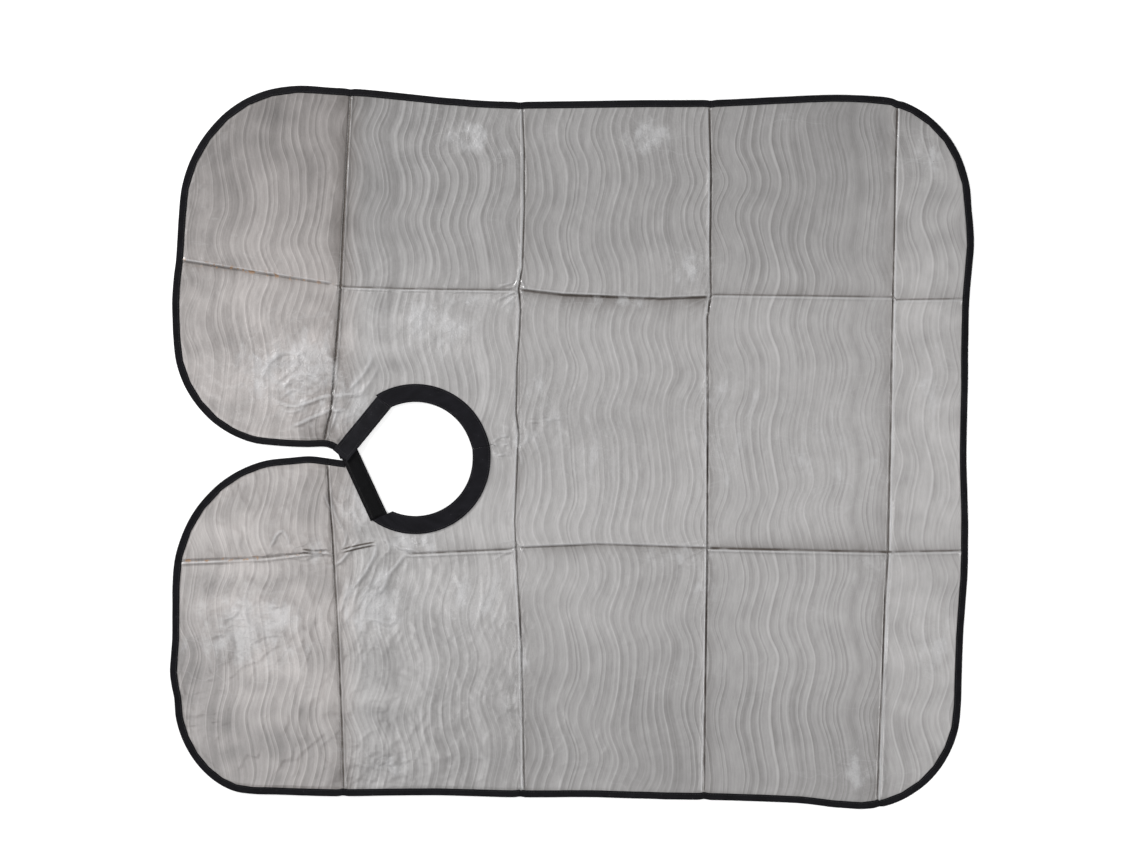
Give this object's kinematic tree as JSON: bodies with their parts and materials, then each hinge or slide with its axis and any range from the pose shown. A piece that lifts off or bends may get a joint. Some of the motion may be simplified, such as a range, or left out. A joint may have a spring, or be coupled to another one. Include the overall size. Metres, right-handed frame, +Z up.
{
  "type": "barber cape",
  "caption": "Barber cape laid flat: coated cloth with fold creases, bound edges, a front slit, and a neckband closed by hook-and-loop tabs.",
  "frame": {"origin": "middle of the cape's overall size, on the floor that it lies on", "axes": "+X along the cape's width, from the front slit towards the closed side; +Y along its length, towards the half with the hook tab; +Z up, out of the side that shows"},
  "size_m": [1.114, 1.002, 0.0057],
  "materials": {
    "coated_cloth": "satin",
    "edge_binding": "satin",
    "neckband": "matte",
    "hook_tape": "matte",
    "loop_tape": "matte",
    "thread": "satin"
  },
  "bodies": {
    "collar": {"binding_collar_bottom": "edge_binding", "binding_collar_top": "edge_binding", "binding_slit_end_lower": "edge_binding", "binding_slit_end_upper": "edge_binding", "cloth_collar": "coated_cloth", "loop_pile": "loop_tape", "loop_tape": "loop_tape", "neckband_lower_backing": "neckband", "neckband_lower_face": "neckband", "neckband_upper_backing": "neckband", "neckband_upper_face": "neckband", "stitching_collar_bottom": "thread", "stitching_collar_top": "thread", "stitching_loop_tape_inner": "thread", "stitching_loop_tape_outer": "thread", "stitching_neckband_lower_inner": "thread", "stitching_neckband_lower_outer": "thread", "stitching_neckband_seam": "thread", "stitching_neckband_upper_inner": "thread", "stitching_neckband_upper_outer": "thread"},
    "flap_upper": {"binding_flap_upper": "edge_binding", "cloth_flap_upper": "coated_cloth", "stitching_flap_upper": "thread"},
    "flap_lower": {"binding_flap_lower": "edge_binding", "cloth_flap_lower": "coated_cloth", "stitching_flap_lower": "thread"},
    "panel_middle": {"binding_panel_middle_bottom": "edge_binding", "binding_panel_middle_top": "edge_binding", "cloth_panel_middle": "coated_cloth", "stitching_panel_middle_bottom": "thread", "stitching_panel_middle_top": "thread"},
    "panel_right": {"binding_panel_right_bottom": "edge_binding", "binding_panel_right_top": "edge_binding", "cloth_panel_right": "coated_cloth", "stitching_panel_right_bottom": "thread", "stitching_panel_right_top": "thread"},
    "panel_end": {"binding_panel_end": "edge_binding", "cloth_panel_end": "coated_cloth", "stitching_panel_end": "thread"},
    "hook_tab": {"hook_field": "hook_tape", "hook_tape": "hook_tape"}
  },
  "joints": [
    {"name": "upper_flap_fold", "type": "hinge", "parent": "collar", "child": "flap_upper", "pos_m": [-0.32236, 0.24, 0.0068], "axis": [0.0594, 0.9982, 0], "range_deg": [0, 180]},
    {"name": "lower_flap_fold", "type": "hinge", "parent": "collar", "child": "flap_lower", "pos_m": [-0.32718, -0.24, 0.0068], "axis": [-0.0423, 0.9991, 0], "range_deg": [0, 180]},
    {"name": "middle_fold", "type": "hinge", "parent": "collar", "child": "panel_middle", "pos_m": [-0.072, 0, 0.0144], "axis": [0, -1, 0], "range_deg": [0, 180]},
    {"name": "right_fold", "type": "hinge", "parent": "panel_middle", "child": "panel_right", "pos_m": [0.18775, 0, 0.0073], "axis": [-0.0095, -1, 0], "range_deg": [0, 180]},
    {"name": "end_fold", "type": "hinge", "parent": "panel_right", "child": "panel_end", "pos_m": [0.4385, 0, 0.0048], "axis": [-0.0269, -0.9996, 0], "range_deg": [0, 180]},
    {"name": "hook_tab_peel", "type": "hinge", "parent": "collar", "child": "hook_tab", "pos_m": [-0.26016, 0.06297, 0.0047], "axis": [-0.7749, 0.632, 0], "range_deg": [0, 180]}
  ]
}
